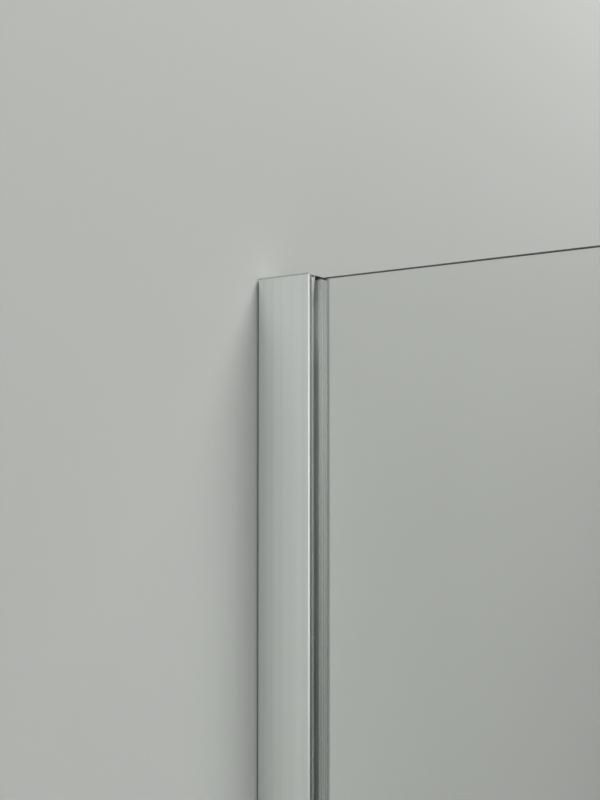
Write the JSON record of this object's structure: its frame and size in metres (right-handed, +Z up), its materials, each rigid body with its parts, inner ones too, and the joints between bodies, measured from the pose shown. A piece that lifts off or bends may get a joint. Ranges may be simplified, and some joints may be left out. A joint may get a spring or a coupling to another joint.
{
  "type": "hinged shower door",
  "caption": "Shower door for a niche: a clear fixed pane in a satin wall profile, a glass leaf on rising hinges with back-to-back bar handles, and a magnetic strike profile.",
  "frame": {"origin": "bottom centre of the face of the first wall channel that lies on the wall", "axes": "+X from the first wall to the strike wall, along the glass; -Y the dry side that the leaf opens towards; +Z up"},
  "size_m": [0.9, 0.106, 2],
  "materials": {
    "mill_aluminium": "mill finish",
    "satin_aluminium": "satin anodised, brushed along its length",
    "clear_seal": "clear soft PVC",
    "grey_plastic": "moulded",
    "white_nylon": "moulded",
    "screw_steel": "machined stainless",
    "clear_glass": "clear toughened, polished edges",
    "magnet_rubber": "extruded magnetic rubber",
    "satin_steel": "satin brushed",
    "hinge_metal": "satin brushed",
    "grey_gasket": "cut sheet"
  },
  "bodies": {
    "frame": {"wall_channel_fixed": "mill_aluminium", "wall_channel_strike": "mill_aluminium", "glazing_profile": "satin_aluminium", "strike_profile": "satin_aluminium", "glazing_seal_outer": "clear_seal", "glazing_seal_inner": "clear_seal", "glazing_cap": "grey_plastic", "strike_cap": "grey_plastic", "glazing_lock_screws": "screw_steel", "strike_lock_screws": "screw_steel", "setting_block": "white_nylon", "fixed_glass": "clear_glass", "fixed_bottom_strip": "clear_seal", "threshold": "satin_aluminium", "strike_seal": "clear_seal", "strike_magnet": "magnet_rubber", "upper_hinge_fixed_leaf": "hinge_metal", "upper_hinge_fixed_back_plate": "hinge_metal", "upper_hinge_fixed_gaskets": "grey_gasket", "upper_hinge_fixed_screws": "screw_steel", "upper_hinge_fixed_sleeves": "white_nylon", "upper_hinge_fixed_cam": "white_nylon", "upper_hinge_bottom_cap": "hinge_metal", "lower_hinge_fixed_leaf": "hinge_metal", "lower_hinge_fixed_back_plate": "hinge_metal", "lower_hinge_fixed_gaskets": "grey_gasket", "lower_hinge_fixed_screws": "screw_steel", "lower_hinge_fixed_sleeves": "white_nylon", "lower_hinge_fixed_cam": "white_nylon", "lower_hinge_bottom_cap": "hinge_metal"},
    "hinge_pins": {"upper_hinge_pin": "screw_steel", "lower_hinge_pin": "screw_steel"},
    "leaf": {"door_glass": "clear_glass", "hinge_edge_seal": "clear_seal", "bottom_drip_seal": "clear_seal", "magnet_seal": "clear_seal", "door_magnet": "magnet_rubber", "handle_outer": "satin_steel", "handle_inner": "satin_steel", "handle_studs": "screw_steel", "handle_sleeves": "white_nylon", "handle_washers": "clear_seal", "upper_hinge_door_leaf": "hinge_metal", "upper_hinge_door_back_plate": "hinge_metal", "upper_hinge_door_gaskets": "grey_gasket", "upper_hinge_door_screws": "screw_steel", "upper_hinge_door_sleeves": "white_nylon", "upper_hinge_door_cam": "white_nylon", "upper_hinge_top_cap": "hinge_metal", "lower_hinge_door_leaf": "hinge_metal", "lower_hinge_door_back_plate": "hinge_metal", "lower_hinge_door_gaskets": "grey_gasket", "lower_hinge_door_screws": "screw_steel", "lower_hinge_door_sleeves": "white_nylon", "lower_hinge_door_cam": "white_nylon", "lower_hinge_top_cap": "hinge_metal"}
  },
  "joints": [
    {"name": "leaf_lift", "type": "slide", "parent": "frame", "child": "hinge_pins", "axis": [0, 0, 1], "range_m": [0, 0.006]},
    {"name": "leaf_swing", "type": "hinge", "parent": "hinge_pins", "child": "leaf", "pos_m": [0.304, -0.012, 0], "axis": [0, 0, -1], "range_deg": [0, 90]}
  ],
  "couplings": [
    {"joint": "leaf_lift", "follows": "leaf_swing", "m_per_rad": 0.0038197}
  ]
}
